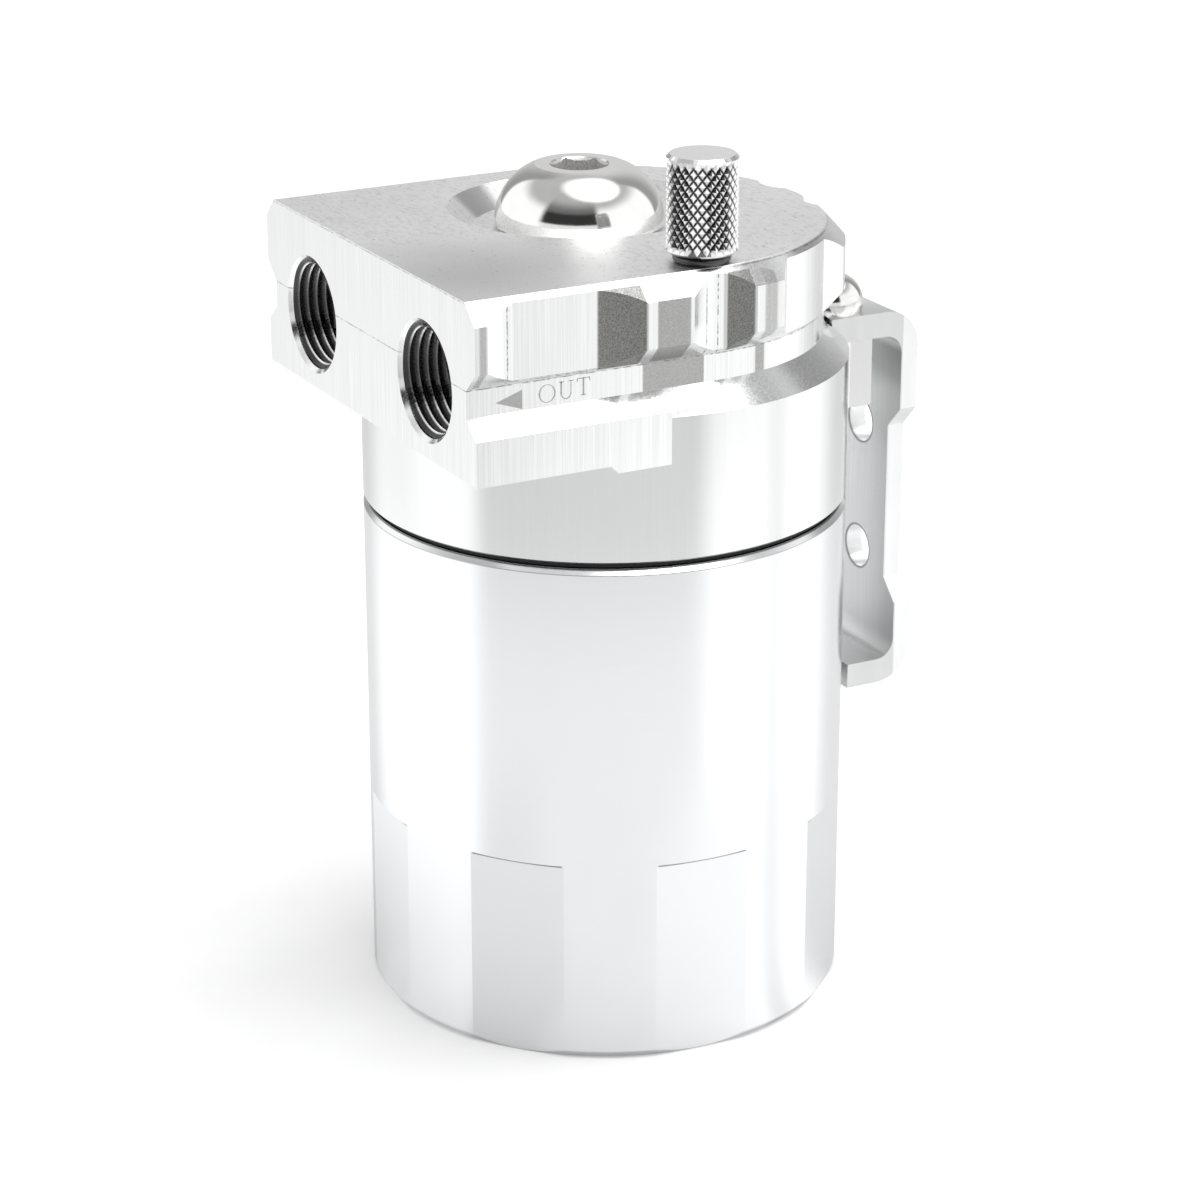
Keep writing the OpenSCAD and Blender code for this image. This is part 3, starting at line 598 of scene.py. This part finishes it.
def knurled():
    finish, tree, shader = new_finish("knurled_steel", (0.9, 0.9, 0.9), 1.0, 0.14)
    place = place_of(tree)
    x, y, z = split(tree, place)
    under_lid = less(tree, knob_high.z, z)
    out = distance(tree, less(tree, x, (knob_low.x + knob_high.x) / 2), y)
    cut_in = less(tree, (knob_high.x - knob_low.x) / 2, out)
    # Painted shade in the grooves of the knurl
    groove = product(tree, ramp(tree, cut_in, 0.2, knurl_reach),
                     ramp(tree, under_lid, knurl_end, knurl_end + 0.2))
    grit = grain(tree, place, 3500, 2.0)
    tree.links.new(blend_colour(tree, groove, knob_metal, groove_shade_black),
                   shader.inputs["Base Color"])
    lid = ramp(tree, under_lid, lid_edge, 0.05, 1.0, 0.0)
    tree.links.new(total(tree, ramp(tree, grit, 0.3, 0.7, 0.1, 0.2), product(tree, lid, 0.2)),
                   shader.inputs["Roughness"])
    bump(tree, shader, grit, 0.15, 0.02)
    return finish


def bright_plate():
    finish, tree, shader = new_finish("bright_plug", plated_metal, 1.0, 0.07)
    place = place_of(tree)
    scuffs = grain(tree, place, 500, 4.0, (1, 1, 2.5))
    tree.links.new(blend_colour(tree, ramp(tree, scuffs, 0.4, 0.65), plated_shade, plated_metal),
                   shader.inputs["Base Color"])
    tree.links.new(ramp(tree, scuffs, 0.35, 0.7, 0.07, 0.13), shader.inputs["Roughness"])
    bump(tree, shader, grain(tree, place, 3800, 2.0), 0.05, 0.01)
    return finish


plated_steel = bright_plate()
nodes["dipstick_knob"].data.materials[0] = knurled()
nodes["dipstick_rod"].data.materials[0] = plated_steel


# Bracket: milled from a channel, satin on its inner face, and held under the head by
# two domed socket screws. Two countersunk holes in its back take the wall bolts.
bracket_high = box_mm("bracket")[1]
web_inner_y = bracket_high.y - 2.7
wall_holes = next(m for m in frame["record"]["mounts"] if m["name"] == "wall_holes")
hole_middle, hole_spread = wall_holes["pos_m"][2] / MM, wall_holes["dims"]["spacing_y_mm"] / 2
rim_inside, rim_outside, rim_shade_grey = 3.6, 3.95, (0.22, 0.22, 0.22)
bracket_metal, bracket_shade = ((0.83, 0.835, 0.84), (0.89, 0.895, 0.90)), (0.42, 0.42, 0.415)


def satin_bracket():
    finish, tree, shader = new_finish("satin_bracket", (0.86, 0.865, 0.87), 1.0, 0.4)
    place = place_of(tree)
    x, y, z = split(tree, place)
    marks = grain(tree, place, 1.0, 3.0, (3500, 300, 60))
    fine = grain(tree, place, 5000, 2.0)
    tint = blend_colour(tree, ramp(tree, marks, 0.3, 0.75), *bracket_metal)

    # Painted shade on the inner face, darker toward its free edge, and round the wall holes
    inner = ramp(tree, y, web_inner_y - 0.2, web_inner_y, 1.0, 0.0)
    away = ramp(tree, x, 1.0, bracket_high.x, 0.0, 0.42)
    tint = blend_colour(tree, product(tree, inner, away), tint, bracket_shade)
    from_middle = reckon(tree, "ABSOLUTE", less(tree, z, hole_middle))
    off_hole = distance(tree, x, less(tree, from_middle, hole_spread))
    rims = product(tree, ramp(tree, off_hole, rim_inside, rim_outside, 0.8, 0.0), inner)
    tree.links.new(blend_colour(tree, rims, tint, rim_shade_grey), shader.inputs["Base Color"])
    tree.links.new(ramp(tree, fine, 0.3, 0.7, 0.34, 0.46), shader.inputs["Roughness"])
    bump(tree, shader, marks, 0.06, 0.01)
    return finish


nodes["bracket"].data.materials[0] = satin_bracket()
for screw in ("bracket_screw_1", "bracket_screw_2"):
    nodes[screw].data.materials[0] = plated_steel


# Baffle: a perforated disc on three spacers that holds a pad of knitted wire up against
# the head, with the inlet tube passing through both. All of it is inside the can.
wire_metal, wire_gap_shade = (0.62, 0.62, 0.62), (0.02, 0.02, 0.02)
rolled_metal = (0.74, 0.745, 0.75), (0.86, 0.865, 0.87)


def knitted_wire():
    finish, tree, shader = new_finish("knitted_wire", (0.5, 0.5, 0.5), 1.0, 0.35)
    loops = put(tree, "ShaderNodeTexVoronoi", links={"Vector": place_of(tree)}, Scale=900.0,
                feature="DISTANCE_TO_EDGE").outputs["Distance"]
    # Painted shade in the gaps between the loops of wire
    wire = ramp(tree, loops, 0.04, 0.2, 1.0, 0.0)
    tree.links.new(blend_colour(tree, wire, wire_gap_shade, wire_metal), shader.inputs["Base Color"])
    tree.links.new(ramp(tree, loops, 0.0, 0.3, 0.2, 0.5), shader.inputs["Roughness"])
    bump(tree, shader, wire, 1.0, 0.3)
    return finish


def sheet_metal():
    finish, tree, shader = new_finish("sheet_metal", (0.8, 0.8, 0.81), 1.0, 0.3)
    rolled = grain(tree, place_of(tree), 1.0, 3.0, (200, 6000, 200))
    tree.links.new(blend_colour(tree, ramp(tree, rolled, 0.35, 0.7), *rolled_metal),
                   shader.inputs["Base Color"])
    tree.links.new(ramp(tree, rolled, 0.3, 0.7, 0.24, 0.38), shader.inputs["Roughness"])
    bump(tree, shader, rolled, 0.15, 0.01)
    return finish


nodes["mesh_pad"].data.materials[0] = knitted_wire()
plain_sheet = sheet_metal()
for part in ("baffle_disc", "inlet_tube", "baffle_spacer_1", "baffle_spacer_2",
             "baffle_spacer_3"):
    nodes[part].data.materials[0] = plain_sheet
for screw in ("baffle_screw_1", "baffle_screw_2", "baffle_screw_3"):
    nodes[screw].data.materials[0] = plated_steel


# Studio: a white floor in a plain pale room with one soft round lamp. The bare metal
# shows a dark gap toward the camera and a grey wall behind, as in the photograph.
view_bearing = math.radians(61.7)
can_radius = 33.0
paper_white = (0.93, 0.93, 0.93), (0.96, 0.96, 0.96)


def floor_finish():
    finish, tree, shader = new_finish("white_floor", (0.93, 0.93, 0.93), 0.0, 0.9)
    place = place_of(tree)
    x, y, _ = split(tree, place)
    paper = grain(tree, place, 40, 3.0)
    far = distance(tree, x, y)
    ahead = less(tree, product(tree, x, math.sin(view_bearing)),
                 product(tree, y, math.cos(view_bearing)))
    aside = total(tree, product(tree, x, math.cos(view_bearing)),
                  product(tree, y, math.sin(view_bearing)))
    spot = product(tree, reckon(tree, "ARCTAN2", aside, ahead), DEGREES)

    # The round wall shows this spot of the floor where it faces this much beside the view
    facing = reckon(tree, "DIVIDE", spot,
                    less(tree, 2.0, reckon(tree, "DIVIDE", can_radius, far)))
    close = ramp(tree, far, 120, 150, 1.0, 0.0)

    # Painted reflection grey for the can's front: its right end is softer close by, and its left
    # flat is darker
    right_end = total(tree, product(tree, close, ramp(tree, facing, 4.0, 46.0, 1.0, 0.0)),
                      product(tree, less(tree, 1.0, close),
                              ramp(tree, facing, 19.5, 28.5, 1.0, 0.0)))
    front = product(tree, ramp(tree, facing, -34.0, -27.5), right_end)
    left_flat = product(tree, close, ramp(tree, facing, -17.0, -13.0, 0.05, 0.0))
    front = product(tree, front, total(tree, ramp(tree, far, 200, 280, 0.22, 0.38), left_flat))

    # Painted reflection: narrow grey bands at both sides, and the grey of what lies behind
    near_band = product(tree, within(tree, facing, 41.0, 47.0, 2.5), 0.17)
    left_band = product(tree, ramp(tree, far, 200, 300, 0.0, 0.10),
                        within(tree, facing, -72.0, -50.0, 5.0))
    right_band = product(tree, ramp(tree, far, 300, 340, 0.0, 0.11),
                         within(tree, facing, 20.0, 40.0, 4.0))
    behind = product(tree, ramp(tree, far, 200, 300, 0.32, 0.38),
                     total(tree, ramp(tree, facing, 56.0, 72.0),
                           ramp(tree, facing, -78.0, -64.0, 1.0, 0.0)))
    dim = total(tree, front, near_band, left_band, right_band, behind)
    # Metal alone sees the floor darker by this much, as painted reflections; everything else sees
    # it white
    shiny = put(tree, "ShaderNodeLightPath").outputs["Is Glossy Ray"]
    shade = less(tree, 1.0, product(tree, dim, shiny))
    tint = blend_colour(tree, ramp(tree, paper, 0.3, 0.7), *paper_white)
    tree.links.new(blend_colour(tree, shade, (0.0, 0.0, 0.0), tint),
                   shader.inputs["Base Color"])
    shader.inputs["Specular IOR Level"].default_value = 0.0
    return finish


floor_reach = 20.0
ground = bpy.data.meshes.new("floor")
ground.from_pydata([(-floor_reach, -floor_reach, 0), (floor_reach, -floor_reach, 0),
                    (floor_reach, floor_reach, 0), (-floor_reach, floor_reach, 0)],
                   [], [(0, 1, 2, 3)])
ground.materials.append(floor_finish())
floor = bpy.data.objects.new("floor", ground)
bpy.context.scene.collection.objects.link(floor)

gap_bearings, front_bearing = (6.0, 90.0), 54.0
ceiling_lamp_x, ceiling_lamp_y = 0.18, 0.22


def room():
    """The room as metal shows it: everything else sees a plain white of strength 1."""
    world = bpy.data.worlds.new("room")
    world.use_nodes = True
    tree = world.node_tree
    sky = tree.nodes["Background"]
    sky.inputs["Color"].default_value = (1, 1, 1, 1)
    way = put(tree, "ShaderNodeTexCoord").outputs["Generated"]
    x, y, z = put(tree, "ShaderNodeSeparateXYZ", links={"Vector": way}).outputs
    bearing = bearing_of(tree, x, y)
    height = product(tree, reckon(tree, "ARCSINE", z), DEGREES)

    # White walls, with a gap that is dark above the height of the table
    wall = ramp(tree, height, 30.0, 48.0, 1.1, 0.50)
    gap = within(tree, bearing, *gap_bearings, 6.0)
    inside = total(tree, ramp(tree, height, 11.0, 14.0, 0.85, 0.03),
                   ramp(tree, height, 30.0, 37.0, 0.0, 0.12),
                   ramp(tree, height, 36.0, 62.0, 0.0, 0.32))
    level = total(tree, product(tree, wall, less(tree, 1.0, gap)), product(tree, inside, gap))

    # Grey wall behind the object, and a round soft lamp on the ceiling
    from_front = reckon(tree, "ABSOLUTE", less(tree, bearing, front_bearing))
    from_back = reckon(tree, "ABSOLUTE", less(tree, from_front, 180.0))
    rear = product(tree, ramp(tree, from_back, 45.0, 51.0, 1.0, 0.0),
                   ramp(tree, height, 48.0, 64.0, 1.0, 0.0))
    level = total(tree, product(tree, level, less(tree, 1.0, rear)),
                  product(tree, rear, ramp(tree, from_back, 8.0, 38.0, 0.66, 0.34)))
    off_lamp = distance(tree, less(tree, reckon(tree, "DIVIDE", x, z), ceiling_lamp_x),
                        less(tree, reckon(tree, "DIVIDE", y, z), ceiling_lamp_y))
    glow = product(tree, ramp(tree, off_lamp, 0.40, 0.64, 0.95, 0.0),
                   ramp(tree, height, 10.0, 20.0))
    shiny = put(tree, "ShaderNodeLightPath").outputs["Is Glossy Ray"]
    strength = total(tree, product(tree, total(tree, level, glow), shiny),
                     less(tree, 1.0, shiny))
    tree.links.new(strength, sky.inputs["Strength"])
    bpy.context.scene.world = world


room()

lamp_data = bpy.data.lights.new("soft_lamp", "AREA")
lamp_data.shape = "DISK"
lamp_data.size = 0.8
lamp_data.energy = 5.0
lamp = bpy.data.objects.new("soft_lamp", lamp_data)
lamp.location = (0.17, 0.21, 1.1)
lit_middle = Vector((0, 0, 0.06))
lamp.rotation_euler = (lit_middle - lamp.location).to_track_quat("-Z", "Y").to_euler()
bpy.context.scene.collection.objects.link(lamp)

# Camera, solved from the photograph's edges for a square picture
eye_distance, eye_height, eye_bearing = 0.51449, 0.25274, math.radians(61.739)
aim_bearing, aim_dip = math.radians(61.818), math.radians(-20.409)
aim = Vector((-math.sin(aim_bearing) * math.cos(aim_dip),
              math.cos(aim_bearing) * math.cos(aim_dip), math.sin(aim_dip)))
camera_data = bpy.data.cameras.new("camera")
camera_data.sensor_width = 36.0
camera_data.lens = 104.46
camera_data.clip_start, camera_data.clip_end = 0.01, 100.0
camera = bpy.data.objects.new("camera", camera_data)
camera.location = (eye_distance * math.sin(eye_bearing),
                   -eye_distance * math.cos(eye_bearing), eye_height)
camera.rotation_euler = aim.to_track_quat("-Z", "Y").to_euler()
bpy.context.scene.collection.objects.link(camera)
bpy.context.scene.camera = camera
bpy.context.scene.view_settings.view_transform = "Standard"
